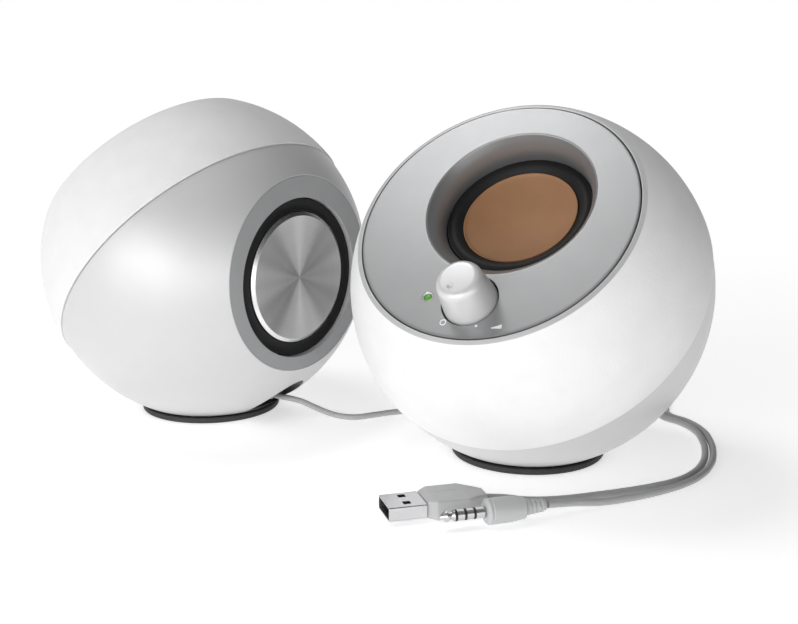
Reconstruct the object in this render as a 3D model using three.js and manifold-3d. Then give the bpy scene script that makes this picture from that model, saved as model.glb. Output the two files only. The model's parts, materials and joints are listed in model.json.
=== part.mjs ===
// A pair of ball-shaped desktop speakers: a powered one with a volume knob, a passive satellite,
// the cord between them, and a USB lead and an audio lead that end in their plugs.
// Millimetres, +Z up. The origin is on the desk, at the middle of the two speakers' footprint.
// Each speaker is built in a frame of its own: its foot at the origin, its front towards -Y.
import * as THREE from 'three';
import { mergeVertices } from 'three/addons/utils/BufferGeometryUtils.js';
import Module from 'manifold-3d';

const wasm = await Module();
wasm.setup();

// ---- driving dimensions -------------------------------------------------------------------------
const BALL_R = 61.5;              // outer radius of the front shell
const STEP = 0.6;                 // the rear shell sits this far below the front one
const WALL = 2.4;
const CENTRE_Z = 58;              // height of the ball's centre
const GAP = 0.3;                  // clearance between touching pieces
const FOOT = { r: 26.5, inner: 17.5, height: 2.1 };
const FLOOR_Z = FOOT.height + GAP;

const BAFFLE = { elevation: 45, front: 39.2, thick: 2.4, r: 45.9, rimR: 47.9, rimFront: 38.56 };
const LEDGE = { r: 42.5, low: 33, high: 35.5 };
const SEAM = { elevation: 42, offset: 0.8 };

// driver: its axis leans 4 degrees further up than the baffle's
const DRIVER = { u: 2.0, v: 8.4, n: 30.1, lean: 4, hole: 24.7, surroundR: 24.3, coneR: 19.2 };
const DISH = { u: 2.4, v: 6.4, r: 28.2, skin: 2.6 };

const KNOB = { u: 2.4, v: -32, baseR: 8.8, topR: 6.6, hole: 9.4, low: 37.7, high: 51.2, bore: 3.2 };
const LED = { u: -12.1, v: -32.5, r: 1.5 };

// passive radiator in the flat back of each speaker
const BACK_Y = 49.4;
const RADIATOR = { drop: 1.5, hole: 28.9, discR: 23.7, recess: 1.9 };

// arched recess at the back, low down, where the cords come out
const RECESS = { x: -4, halfWidth: 9.6, floor: 4.7, height: 10, wall: 1.1, backY: 26, cordZ: 8.2 };
const GLAND = { r: 2.2, endR: 1.7, tipY: 29.5 };

const POWERED = { x: 59.75, y: -27.9, turn: -30.5, glands: [-9.5, -4, 1.5] };
const SATELLITE = { x: -59.15, y: 27.9, turn: -128.6, glands: [-4] };

// cord diameters, and what every coil is wound to: turns side by side in each of two layers
const CORD = { link: 2.2, lead: 2.4 };
const WOUND = { across: 6, layers: 2, middle: 5.5 };      // middle: the mean radius in diameters

const USB = {
  x: 10.2, y: -91.1, turn: 16.2,
  shell: { length: 11.8, width: 12, height: 4.5, wall: 0.4 },
  body: { length: 20, width: 14.4, height: 6.2 },
};
const AUDIO = { x: 26.6, y: -100.4, z: 4, turn: 17.2 };

// ---- materials ----------------------------------------------------------------------------------
const finish = (color, roughness, metalness = 0) =>
  new THREE.MeshStandardMaterial({ color, roughness, metalness });
const MATERIAL = {
  frontShell: finish(0xf0f0ef, 0.55),
  rearShell: finish(0xf2f2f2, 0.2),
  baffle: finish(0xa9abad, 0.45, 0.1),
  rubber: finish(0x1c1d1f, 0.8),
  cone: finish(0xa9745a, 0.4, 0.3),
  frame: finish(0x26282a, 0.6),
  magnet: finish(0x35373a, 0.5, 0.4),
  steel: finish(0xb8babd, 0.3, 0.9),
  copper: finish(0xb06a3c, 0.4, 0.8),
  disc: finish(0xb5b7ba, 0.3, 0.95),
  knob: finish(0xe2e3e4, 0.4),
  led: finish(0x5c9a3a, 0.3),
  board: finish(0x1f5a36, 0.6),
  cord: finish(0x9a9c9e, 0.5),
  plug: finish(0xd5d6d7, 0.45),
};

// ---- helpers ------------------------------------------------------------------------------------
const rad = THREE.MathUtils.degToRad;
const V2 = (x, y) => new THREE.Vector2(x, y);
const V3 = (x, y, z) => new THREE.Vector3(x, y, z);

/** A closed geometry, moved by a matrix, as a manifold-3d solid. */
function toSolid(geometry, matrix = new THREE.Matrix4()) {
  const bare = geometry.clone().applyMatrix4(matrix);
  bare.deleteAttribute('normal');
  bare.deleteAttribute('uv');
  const merged = mergeVertices(bare, 1e-4);
  return new wasm.Manifold(new wasm.Mesh({
    numProp: 3,
    vertProperties: new Float32Array(merged.attributes.position.array),
    triVerts: new Uint32Array(merged.index.array),
  }));
}

/** A manifold-3d solid as a three.js geometry. */
function toGeometry(solid) {
  const { vertProperties, triVerts } = solid.getMesh();
  const geometry = new THREE.BufferGeometry();
  geometry.setAttribute('position', new THREE.BufferAttribute(new Float32Array(vertProperties), 3));
  geometry.setIndex(new THREE.BufferAttribute(new Uint32Array(triVerts), 1));
  geometry.computeVertexNormals();
  return geometry;
}

/** A turned piece about +Z, from [radius, height] points that run from low to high outside. */
function turned(points, segments = 32) {
  const profile = points.map(([r, z]) => V2(r, z));
  return new THREE.LatheGeometry(profile, segments).rotateX(Math.PI / 2);
}

/** A turned ring about +Z: its outline closes on itself. */
const ring = (points, segments = 32) => turned([...points, points[0]], segments);

/** [radius, height] points on a circle of radius r about the origin, between two heights. */
function arc(r, fromZ, toZ, steps) {
  const a = Math.asin(fromZ / r);
  const b = Math.asin(toZ / r);
  return Array.from({ length: steps + 1 }, (_, i) => {
    const t = a + (b - a) * i / steps;
    return [r * Math.cos(t), r * Math.sin(t)];
  });
}

/** A closed skin through rings of points, all with the same count, from the first ring to the last. */
function loft(rings) {
  const count = rings[0].length;
  const points = rings.flat();
  const faces = [];
  for (let k = 0; k < rings.length - 1; k++) {
    for (let i = 0; i < count; i++) {
      const [a, b] = [k * count + i, k * count + (i + 1) % count];
      faces.push(a, b, b + count, a, b + count, a + count);
    }
  }
  const last = (rings.length - 1) * count;
  for (let i = 1; i < count - 1; i++) {
    faces.push(0, i + 1, i, last, last + i, last + i + 1);
  }
  const geometry = new THREE.BufferGeometry().setFromPoints(points);
  geometry.setIndex(faces);
  return geometry;
}

/** A circle of points in a plane whose normal leans from +Z towards +Y. */
function circle(centre, r, lean, segments = 28) {
  const turn = new THREE.Matrix4().makeRotationX(-rad(lean)).setPosition(centre);
  return Array.from({ length: segments }, (_, i) => {
    const t = 2 * Math.PI * i / segments;
    return V3(r * Math.cos(t), r * Math.sin(t), 0).applyMatrix4(turn);
  });
}

const box = (w, d, h, x, y, z) => new THREE.BoxGeometry(w, d, h).translate(x, y, z);

/** The matrix of a frame at the ball's centre whose +Z points forwards and up by an elevation. */
const facing = (elevation) =>
  new THREE.Matrix4().makeRotationX(rad(90 - elevation)).setPosition(0, 0, CENTRE_Z);

/** A rod along +Y of radius r between two depths, at [x, z]. */
const rodY = (r, fromY, toY, x, z, segments = 20) =>
  new THREE.CylinderGeometry(r, r, toY - fromY, segments).translate(x, (fromY + toY) / 2, z);

function add(parent, name, geometry, material) {
  const mesh = new THREE.Mesh(geometry, material);
  mesh.name = name;
  parent.add(mesh);
  return mesh;
}

// ---- speaker shells -----------------------------------------------------------------------------
/** Everything on one side of the seam plane, moved off it by half the gap. */
function seamHalf(side) {
  const size = 4 * BALL_R;
  const lift = SEAM.offset + side * (size / 2 + GAP / 2);
  return toSolid(box(size, size, size, 0, 0, lift), facing(SEAM.elevation));
}

function frontShell() {
  const outer = arc(BALL_R, -9, BAFFLE.rimFront, 9);
  const inner = arc(BALL_R - WALL, LEDGE.low, -9, 5);
  const mouth = BAFFLE.r + 0.4;
  const profile = [
    ...outer,
    [mouth, BAFFLE.front - 0.1],
    [mouth, LEDGE.high],
    [LEDGE.r, LEDGE.high],
    [LEDGE.r, LEDGE.low],
    ...inner,
  ];
  const whole = toSolid(ring(profile, 36), facing(BAFFLE.elevation));
  return toGeometry(whole.intersect(seamHalf(1)));
}

/** The ball of radius r, cut flat below and behind. Its poles are in front and behind. */
function cutBall(r, floorZ, backY, segments) {
  const size = 4 * BALL_R;
  const ball = new THREE.SphereGeometry(r, segments, segments / 2).translate(0, 0, CENTRE_Z);
  const keep = box(size, size, size, 0, backY - size / 2, floorZ + size / 2);
  return toSolid(ball).intersect(toSolid(keep));
}

/** The outline of the cord recess, drawn in X and Z and run along Y between two depths. */
function recessPrism(grow, fromY, toY) {
  const half = RECESS.halfWidth + grow;
  const low = RECESS.floor - grow;
  const shape = new THREE.Shape();
  shape.moveTo(RECESS.x - half, low);
  shape.lineTo(RECESS.x + half, low);
  shape.absellipse(RECESS.x, low, half, RECESS.height + 2 * grow, 0, Math.PI, false, 0);
  const prism = new THREE.ExtrudeGeometry(shape, {
    depth: toY - fromY, bevelEnabled: false, curveSegments: 12,
  });
  return toSolid(prism.rotateX(Math.PI / 2).translate(0, toY, 0));
}

function rearShell() {
  const r = BALL_R - STEP;
  let shell = cutBall(r, FLOOR_Z, BACK_Y, 36)
    .subtract(cutBall(r - WALL, FLOOR_Z + WALL, BACK_Y - WALL, 20))
    .intersect(seamHalf(-1))
    .subtract(toSolid(rodY(RADIATOR.hole, BACK_Y - 6, BACK_Y + 2, 0, CENTRE_Z - RADIATOR.drop, 32)))
    .subtract(recessPrism(RECESS.wall + GAP, RECESS.backY - 6, BALL_R));
  for (const [x, y] of screwPlaces()) {
    const hole = new THREE.CylinderGeometry(1.7, 1.7, 3 * WALL, 10).rotateX(Math.PI / 2);
    shell = shell.subtract(toSolid(hole.translate(x, y, FLOOR_Z)));
  }
  return toGeometry(shell);
}

/** The dark cup that lines the cord recess, with a hole for each gland. */
function recessCup(glands) {
  let cup = recessPrism(RECESS.wall, RECESS.backY - RECESS.wall, BALL_R)
    .intersect(cutBall(BALL_R - STEP, FLOOR_Z, BALL_R, 36))
    .subtract(recessPrism(0, RECESS.backY, BALL_R + 5));
  for (const x of glands) {
    cup = cup.subtract(toSolid(rodY(GLAND.r + GAP, 20, 30, x, RECESS.cordZ, 12)));
  }
  return toGeometry(cup);
}

const screwPlaces = () =>
  [90, 210, 330].map((a) => [13.5 * Math.cos(rad(a)), 13.5 * Math.sin(rad(a))]);

// ---- baffle -------------------------------------------------------------------------------------
/** Built about the baffle's own axis: +Z out of the baffle, +Y up it. */
function baffle(withControls) {
  const { r, front, thick } = BAFFLE;
  const back = front - thick;
  const plate = toSolid(turned([
    [0, back], [43.5, back], [43.5, back - 1], [r, back - 1], [r, front - 0.3], [r - 0.3, front], [0, front],
  ], 36));
  const seat = V3(DRIVER.u, DRIVER.v, DRIVER.n);
  const axis = V3(0, Math.sin(rad(DRIVER.lean)), Math.cos(rad(DRIVER.lean)));
  const below = (depth) => seat.clone().addScaledVector(axis, -depth);
  const mouth = (z) => V3(DISH.u, DISH.v, z);
  const bowl = toSolid(loft([
    circle(below(1.2), DRIVER.hole + DISH.skin, DRIVER.lean),
    circle(mouth(back + 0.4), DISH.r + DISH.skin, 0),
  ]));
  const hollow = toSolid(loft([
    circle(below(5), DRIVER.hole, DRIVER.lean),
    circle(below(0), DRIVER.hole, DRIVER.lean),
    circle(mouth(front), DISH.r, 0),
    circle(mouth(front + 3), DISH.r + 1.4, 0),
  ]));
  let solid = plate.add(bowl).subtract(hollow);
  if (withControls) {
    const bore = (r0, u, v) => toSolid(turned([[0, 20], [r0, 20], [r0, 60], [0, 60]], 20),
      new THREE.Matrix4().makeTranslation(u, v, 0));
    solid = solid.subtract(bore(KNOB.hole, KNOB.u, KNOB.v)).subtract(bore(LED.r + GAP, LED.u, LED.v));
  }
  return toGeometry(solid);
}

/** Knob, its shaft, the control behind it and the lamp's lens. */
function controls(axisGroup) {
  const { low, high, baseR, topR, bore } = KNOB;
  const at = new THREE.Group();
  at.position.set(KNOB.u, KNOB.v, 0);
  axisGroup.add(at);
  const knob = turned([
    [0, 46], [bore, 46], [bore, low], [baseR - 0.3, low], [baseR, low + 0.4],
    [topR + 0.5, high - 2.2], [topR, high - 0.8], [topR - 1.2, high], [0, high],
  ], 24);
  add(at, 'volume_knob', knob, MATERIAL.knob);
  const shaftR = bore - GAP;
  add(at, 'knob_shaft', turned([[0, 32], [shaftR, 32], [shaftR, 45.6], [0, 45.6]], 12), MATERIAL.steel);
  const bushing = toSolid(turned([[0, 30], [4.6, 30], [4.6, 35], [0, 35]], 16));
  const socket = toSolid(turned([[0, 31.6], [bore, 31.6], [bore, 40], [0, 40]], 16));
  const body = toSolid(box(14, 14, 7, 0, 0, 28)).add(bushing).subtract(socket);
  add(at, 'volume_control', toGeometry(body), MATERIAL.frame);

  const lens = turned([[0, 35], [LED.r, 35], [LED.r, 38.9], [LED.r - 0.5, 39.3], [0, 39.4]], 12);
  add(axisGroup, 'power_lamp', lens.translate(LED.u, LED.v, 0), MATERIAL.led);
}

// ---- driver -------------------------------------------------------------------------------------
/** Turned pieces about the driver's axis, whose origin is the middle of the surround's outer edge. */
function driver(parent, who) {
  const frame = ring([
    [24.9, -3.6], [17.5, -14], [17.5, -16.6], [8.2, -16.6], [8.2, -19], [19, -19], [19.5, -13.4],
    [27, -3.6], [28.6, -3.2], [28.6, -2.0], [24.9, -2.0],
  ], 24);
  add(parent, `${who}_driver_frame`, frame, MATERIAL.frame);
  add(parent, `${who}_driver_magnet`, ring([[9.5, -25.4], [17, -25.4], [17, -19.3], [9.5, -19.3]], 20),
    MATERIAL.magnet);
  add(parent, `${who}_driver_pole`, turned([
    [0, -28], [16, -28], [16, -25.7], [6.2, -25.7], [6.2, -17], [0, -17],
  ], 20), MATERIAL.steel);

  const { coneR, surroundR } = DRIVER;
  add(parent, `${who}_cone`, turned([
    [0, -7.0], [7, -6.0], [13.5, -3.7], [coneR, -0.6], [coneR, 0.2],
    [13.5, -2.9], [7, -5.2], [0, -6.2],
  ], 28), MATERIAL.cone);
  const middle = (surroundR + coneR + GAP) / 2;
  const half = (surroundR - coneR - GAP) / 2;
  const roll = [150, 90, 30].map((a) =>
    [middle + half * Math.cos(rad(a)), 1.9 * Math.sin(rad(a)) - 0.2]);
  add(parent, `${who}_surround`, ring([
    [coneR + GAP, -0.9], [surroundR, -0.9], [surroundR, 0], ...roll.reverse(), [coneR + GAP, 0],
  ], 28), MATERIAL.rubber);
  add(parent, `${who}_voice_coil`, ring([[6.7, -18.5], [7.6, -18.5], [7.6, -6.4], [6.7, -6.6]], 16),
    MATERIAL.copper);
}

// ---- passive radiator ---------------------------------------------------------------------------
/** Turned pieces about the radiator's axis: +Z points backwards, 0 is the flat back's face. */
function radiator(parent, who) {
  const { hole, discR, recess } = RADIATOR;
  const inside = -WALL - GAP;
  add(parent, `${who}_radiator_frame`, ring([
    [29.2, inside - 5], [31.4, inside - 5], [33, inside - 2],
    [33, inside], [31.2, inside], [29.2, inside - 2],
  ], 24), MATERIAL.frame);
  add(parent, `${who}_radiator_surround`, ring([
    [discR + GAP, -recess - 1.4], [hole - 0.4, -recess - 1.4], [hole - 0.4, -recess],
    [hole - 1.6, -recess + 0.2], [(hole + discR) / 2, -recess - 0.5], [discR + GAP, -recess],
  ], 32), MATERIAL.rubber);
  add(parent, `${who}_radiator_disc`, turned([
    [0, -recess - 1.2], [discR, -recess - 1.2], [discR, -recess + 0.5], [discR - 1.4, -recess + 1.2],
    [0, -recess + 1.2],
  ], 32), MATERIAL.disc);
}

// ---- one speaker --------------------------------------------------------------------------------
function speaker(who, place, powered) {
  const group = new THREE.Group();
  group.position.set(place.x, place.y, 0);
  group.rotation.z = rad(place.turn);

  add(group, `${who}_front_shell`, frontShell(), MATERIAL.frontShell);
  add(group, `${who}_rear_shell`, rearShell(), MATERIAL.rearShell);
  add(group, `${who}_cord_recess`, recessCup(place.glands), MATERIAL.frame);
  place.glands.forEach((x, i) => {
    const gland = turned([[0, 0], [GLAND.r, 0], [GLAND.r, 3.4], [GLAND.endR, 6.5], [0, 6.5]], 12);
    gland.rotateX(-Math.PI / 2).translate(x, GLAND.tipY - 6.5, RECESS.cordZ);
    add(group, place.glands.length > 1 ? `${who}_gland_${i + 1}` : `${who}_gland`, gland, MATERIAL.rubber);
  });
  add(group, `${who}_foot`, ring([
    [FOOT.inner, 0], [FOOT.r - 0.5, 0], [FOOT.r, 0.5], [FOOT.r, FOOT.height], [FOOT.inner, FOOT.height],
  ], 36), MATERIAL.rubber);
  screwPlaces().forEach(([x, y], i) => {
    const screw = turned([
      [0, 0.6], [2.2, 0.6], [2.7, 1.1], [2.7, FOOT.height], [1.35, FOOT.height], [1.35, 8], [0, 8.6],
    ], 10);
    add(group, `${who}_base_screw_${i + 1}`, screw.translate(x, y, 0), MATERIAL.steel);
  });

  const axisGroup = new THREE.Group();
  axisGroup.position.z = CENTRE_Z;
  axisGroup.rotation.x = rad(90 - BAFFLE.elevation);
  group.add(axisGroup);
  add(axisGroup, `${who}_baffle`, baffle(powered), MATERIAL.baffle);
  const driverGroup = new THREE.Group();
  driverGroup.position.set(DRIVER.u, DRIVER.v, DRIVER.n);
  driverGroup.rotation.x = -rad(DRIVER.lean);
  axisGroup.add(driverGroup);
  driver(driverGroup, who);

  const backGroup = new THREE.Group();
  backGroup.position.set(0, BACK_Y, CENTRE_Z - RADIATOR.drop);
  backGroup.rotation.x = -Math.PI / 2;
  group.add(backGroup);
  radiator(backGroup, who);

  if (powered) {
    controls(axisGroup);
    amplifier(group);
  }
  return group;
}

/** Circuit board on four legs, with its capacitor and finned heat sink. */
function amplifier(group) {
  const deck = 14;
  let board = toSolid(box(46, 30, 1.6, 0, -5, deck));
  for (const [x, y] of [[-15, -14], [15, -14], [-15, 4], [15, 4]]) {
    const low = FLOOR_Z + WALL + GAP;
    board = board.add(toSolid(box(3.6, 3.6, deck - low, x, y, (deck + low) / 2)));
  }
  add(group, 'amplifier_board', toGeometry(board), MATERIAL.board);
  const top = deck + 0.8 + GAP;
  add(group, 'amplifier_capacitor', turned([[0, top], [5, top], [5, top + 11], [0, top + 11]], 20)
    .translate(13, -8, 0), MATERIAL.frame);
  const comb = new THREE.Shape();
  const fins = 4;
  comb.moveTo(-9, 0);
  comb.lineTo(9, 0);
  for (let i = 0; i < fins; i++) {
    const right = 9 - i * 5;
    comb.lineTo(right, 8);
    comb.lineTo(right - 3, 8);
    if (i < fins - 1) {
      comb.lineTo(right - 3, 2);
      comb.lineTo(right - 5, 2);
    }
  }
  const sink = new THREE.ExtrudeGeometry(comb, { depth: 14, bevelEnabled: false });
  add(group, 'amplifier_heat_sink', sink.rotateX(Math.PI / 2).translate(-9, -1, top), MATERIAL.steel);
}

// ---- cords --------------------------------------------------------------------------------------
// Each route is a list of points on the desk, chosen by hand: link_cord joins the two speakers, and
// _a runs from a gland to a coil, _b from the coil on. The leads end in their plugs.
const ROUTES = {
  link_cord_a: [CORD.link, [
    [-33.3, 12.4, 8.2], [-29.9, 9.8, 8.1], [-26, 8.4, 7.8], [-22, 8.6, 6.6], [-18, 9.6, 4.4],
    [-13.4, 10, 2.2], [-9.5, 8.9, 1.2], [-5.2, 6.8, 1.1], [-1.4, 6.4, 1.1], [4.5, 8.9, 1.1],
    [12.6, 12.7, 1.1], [20.5, 14.6, 1.1], [28.3, 14.9, 1.1],
  ]],
  link_cord_b: [CORD.link, [
    [56.8, 28.1, 2.3], [61.8, 29.3, 1.2], [66.6, 27, 1.1], [69.9, 21.6, 1.9], [71, 15, 4.2],
    [70.3, 9.3, 7], [68.8, 6.2, 8], [66.8, 2.7, 8.2],
  ]],
  usb_cord_a: [CORD.lead, [
    [76.3, -2.9, 8.2], [78.7, 1.3, 8], [81.6, 6.6, 6.8], [83.4, 12.4, 4.4], [84.1, 17.4, 2.1],
    [83.7, 21.4, 1.3],
  ]],
  usb_cord_b: [CORD.lead, [
    [112, 53, 2.2], [116, 48, 1.4], [118.3, 41.5, 1.2], [118.6, 34, 1.2], [117, 25.5, 1.2],
    [114.8, 16.4, 1.2], [114.4, 7, 1.2], [119.7, -0.9, 1.2], [122.6, -10.1, 1.2], [122.6, -21.2, 1.2],
    [120.6, -34, 1.2], [116.7, -46.1, 1.2], [110.9, -56.1, 1.2], [104.8, -62.3, 1.2],
    [97.2, -67, 1.2], [87.4, -71.4, 1.2], [75.9, -75.5, 1.2], [64.7, -79, 1.3], [54, -81, 1.8],
    [46.8, -81.4, 2.7], [41.3, -82.05, 3.1],
  ]],
  audio_cord_a: [CORD.lead, [
    [71.5, -0.1, 8.2], [73.9, 4.1, 8], [76.1, 9.6, 6.8], [77, 16, 4.2], [75.6, 23, 2], [72, 30, 1.2],
    [68.4, 36.5, 1.2], [65.2, 42.2, 1.2], [62.8, 46.4, 1.2],
  ]],
  audio_cord_b: [CORD.lead, [
    [82.5, 75.3, 2.3], [89, 72, 1.4], [97, 69.5, 1.2], [106, 65.6, 1.2], [113.5, 59, 1.2],
    [118.7, 50.5, 1.2], [121.2, 41.5, 1.2], [121.4, 33, 1.2], [119.8, 24.5, 1.2], [117.6, 16, 1.2],
    [117.2, 8, 1.2], [122.1, 0.4, 1.2], [125.2, -9.7, 1.2], [125.3, -21.4, 1.2], [123.2, -34.7, 1.2],
    [119.2, -47.2, 1.2], [113.1, -57.9, 1.2], [106.2, -65.4, 1.2], [97, -72, 1.2], [86.5, -77.6, 1.2],
    [76, -82.2, 1.6], [67.6, -86, 3], [59.5, -90.1, 4],
  ]],
};
const COILS = {
  link_coil: [CORD.link, 37, 33],
  usb_coil: [CORD.lead, 93, 41.5],
  audio_coil: [CORD.lead, 61, 68.8],
};

function tube(diameter, points) {
  const path = new THREE.CatmullRomCurve3(points.map((p) => V3(...p)));
  const section = new THREE.Shape();
  section.absarc(0, 0, diameter / 2, 0, 2 * Math.PI, false);
  return new THREE.ExtrudeGeometry(section, {
    steps: Math.round(path.getLength() / (3.5 * diameter)), extrudePath: path, curveSegments: 4,
    bevelEnabled: false,
  });
}

function coil(diameter, x, y) {
  const middle = WOUND.middle * diameter;
  const half = WOUND.across * diameter / 2;
  const top = WOUND.layers * diameter;
  const outline = [[middle - half, 0], [middle + half, 0], [middle + half, top], [middle - half, top]];
  return ring(outline, 28).translate(x, y, 0);
}

/** A rounded rectangle of points across the plug's axis, which is +X. */
function plugSection(x, width, height, centreZ, corner) {
  const points = [];
  for (const [sideY, sideZ, from] of [[1, 1, 0], [-1, 1, 90], [-1, -1, 180], [1, -1, 270]]) {
    for (let a = from; a <= from + 90; a += 45) {
      const y = sideY * (width / 2 - corner) + corner * Math.cos(rad(a));
      const z = sideZ * (height / 2 - corner) + corner * Math.sin(rad(a));
      points.push(V3(x, y, centreZ + z));
    }
  }
  return points;
}

/** USB plug: +X runs from its open end to the cord, and it lies flat on the desk. */
function usbPlug(group) {
  const { length, width, height, wall } = USB.shell;
  const middle = USB.body.height / 2;
  const start = length + GAP;
  add(group, 'usb_plug_body', loft([
    plugSection(start, USB.body.width, USB.body.height, middle, 1.6),
    plugSection(start + 13, USB.body.width, USB.body.height, middle, 1.6),
    plugSection(start + 16, 9.6, 5.4, middle, 1.6),
    plugSection(start + USB.body.length, 4.6, 4.2, middle, 1.6),
  ]), MATERIAL.plug);
  const tubeEnd = new THREE.Shape();
  tubeEnd.moveTo(-width / 2, -height / 2).lineTo(width / 2, -height / 2);
  tubeEnd.lineTo(width / 2, height / 2).lineTo(-width / 2, height / 2);
  const bore = new THREE.Path();
  const [inY, inZ] = [width / 2 - wall, height / 2 - wall];
  bore.moveTo(-inY, -inZ).lineTo(-inY, inZ).lineTo(inY, inZ).lineTo(inY, -inZ);
  tubeEnd.holes.push(bore);
  const shell = new THREE.ExtrudeGeometry(tubeEnd, { depth: length, bevelEnabled: false });
  shell.rotateZ(Math.PI / 2).rotateY(Math.PI / 2).translate(0, 0, middle);
  add(group, 'usb_plug_shell', shell, MATERIAL.steel);
  const tongue = box(length - 1.2, 2 * (inY - GAP), 1.7, length / 2 + 0.6, 0, middle + inZ - GAP - 0.85);
  add(group, 'usb_plug_tongue', tongue, MATERIAL.frame);
}

/** Audio plug: a turned pin, body and strain relief about its axis, which is +Z here. */
function audioPlug(group) {
  add(group, 'audio_plug_pin', turned([
    [0, 0], [0.9, 0.5], [1.7, 2.2], [1.15, 3.4], [1.75, 4.4], [1.75, 14], [0, 14],
  ], 16), MATERIAL.steel);
  add(group, 'audio_plug_body', turned([
    [0, 14.3], [3.5, 14.3], [4, 15], [4, 22], [3.4, 26.7], [0, 26.7],
  ], 18), MATERIAL.plug);
  add(group, 'audio_plug_relief', turned([[0, 27], [2.5, 27], [1.8, 33.6], [0, 33.6]], 14), MATERIAL.plug);
}

const speakers = new THREE.Group();
speakers.add(speaker('powered', POWERED, true));
speakers.add(speaker('satellite', SATELLITE, false));
for (const [name, [diameter, points]] of Object.entries(ROUTES)) {
  add(speakers, name, tube(diameter, points), MATERIAL.cord);
}
for (const [name, [diameter, x, y]] of Object.entries(COILS)) {
  add(speakers, name, coil(diameter, x, y), MATERIAL.cord);
}
const usbGroup = new THREE.Group();
usbGroup.position.set(USB.x, USB.y, 0);
usbGroup.rotation.z = rad(USB.turn);
usbPlug(usbGroup);
const audioTurn = new THREE.Group();
audioTurn.position.set(AUDIO.x, AUDIO.y, AUDIO.z);
audioTurn.rotation.set(0, Math.PI / 2, rad(AUDIO.turn), 'ZYX');
audioPlug(audioTurn);
speakers.add(usbGroup, audioTurn);

export default speakers;
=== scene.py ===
import json
import math

import bmesh
import bpy
from mathutils import Matrix, Vector


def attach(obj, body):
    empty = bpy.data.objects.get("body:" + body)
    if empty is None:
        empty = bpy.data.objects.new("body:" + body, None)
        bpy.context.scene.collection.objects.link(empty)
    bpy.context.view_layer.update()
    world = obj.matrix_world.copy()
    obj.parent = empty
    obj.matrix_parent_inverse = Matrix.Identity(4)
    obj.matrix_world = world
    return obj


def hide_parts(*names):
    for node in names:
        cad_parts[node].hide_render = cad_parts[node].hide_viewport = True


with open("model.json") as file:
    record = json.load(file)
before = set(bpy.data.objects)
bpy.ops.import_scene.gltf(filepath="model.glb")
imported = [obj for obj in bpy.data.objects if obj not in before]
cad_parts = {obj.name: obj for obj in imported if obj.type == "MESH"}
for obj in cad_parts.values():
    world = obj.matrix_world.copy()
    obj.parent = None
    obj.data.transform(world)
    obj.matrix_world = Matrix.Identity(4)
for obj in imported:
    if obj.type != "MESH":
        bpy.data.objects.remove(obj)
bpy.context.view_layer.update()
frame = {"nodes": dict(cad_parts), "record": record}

# Sizes are in millimetres, as in the CAD part, and become metres where a mesh is made.
MM = 0.001

# ---- driving dimensions, the same as the CAD part's ---------------------------------------------
BALL_R = 61.5                     # front shell
REAR_R = 60.9                     # rear shell, a step lower
WALL = 2.4
CENTRE_Z = 58.0
GAP = 0.3
FLOOR_Z = 2.4                     # underside of the rear shell

BAFFLE_ELEVATION = 45.0
BAFFLE_FRONT = 39.2
BAFFLE_THICK = 2.4
BAFFLE_R = 45.9
RIM_R = 47.9
MOUTH_R = BAFFLE_R + 0.4
LEDGE = {"r": 42.5, "low": 33.3, "high": 35.5}    # what the baffle rests on, inside the front shell
SEAM_ELEVATION = 42.0
SEAM_OFFSET = 0.8

DRIVER = {"u": 2.0, "v": 8.4, "n": 30.1, "lean": 4.0, "hole": 24.7, "surround": 24.3, "cone": 19.2}
DISH = {"u": 2.4, "v": 6.4, "r": 28.2, "skin": 2.6}
KNOB = {"u": 2.4, "v": -32.0, "base": 8.8, "top": 6.6, "hole": 9.25, "low": 37.7, "high": 51.2, "bore": 3.2}
LAMP = {"u": -12.1, "v": -32.5, "r": 1.5}
BACK_Y = 49.4
RADIATOR = {"drop": 1.5, "hole": 28.9, "disc": 23.7, "recess": 1.9}
BACK_RING_R = 35.2                # outer radius of the grey ring round the radiator
LINER = 0.7                       # thickness of the radiator's bore lining
RECESS = {"x": -4.0, "half": 9.6, "floor": 4.7, "height": 10.0, "wall": 1.1, "back": 26.0, "cord_z": 8.2}
FOOT = {"r": 26.5, "inner": 17.5, "height": 2.1}

SPEAKERS = {
    "powered": {"x": 59.75, "y": -27.9, "turn": -30.5, "glands": [-9.5, -4.0, 1.5]},
    "satellite": {"x": -59.15, "y": 27.9, "turn": -128.6, "glands": [-4.0]},
}
LINK_D = 2.2
LEAD_D = 2.4
USB = {"x": 10.2, "y": -91.1, "turn": 16.2, "length": 11.8, "width": 12.0, "height": 4.5, "mid": 3.1}
AUDIO = {"x": 26.6, "y": -100.4, "z": 4.0, "turn": 17.2}

# ---- the studio, in metres, watts and degrees -----------------------------------------------------
CAMERA = {"at": (0.01475, -0.4428, 0.1424), "down": 12.63, "lens": 56.07, "sensor": 36.0}
LIGHTS = {
    "key": {"at": (-0.72, -0.88, 0.22), "to": (0, 0, 0.06), "size": (0.9, 0.6), "power": 4.2},
    "top": {"at": (-0.32, 0.26, 1.0), "to": (0, 0, 0.06), "size": (0.5, 0.36), "power": 3.0},
    "low": {"at": (0.0, -0.42, 0.01), "to": (0, 0, 0.12), "size": (0.6, 0.3), "power": 0.8},
}
# Brightness falls from white to this along an axis of the view into the sky.
SKY = (
    {"axis": "Z", "start": 0.02, "end": 0.55, "darkest": 0.30},
    {"axis": "X", "start": 0.33, "end": 0.7, "darkest": 0.0},
)
# The floor glows more with distance, so that it stays white where the lights don't reach.
FLOOR_GLOW = {"start": 0.15, "end": 1.2, "near": 0.5, "far": 0.82}
FLOOR_RINGS = (0, 600, 30000)     # millimetres


# ---- frames -------------------------------------------------------------------------------------
def shift(x, y, z):
    return Matrix.Translation(Vector((x, y, z)) * MM)


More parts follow.
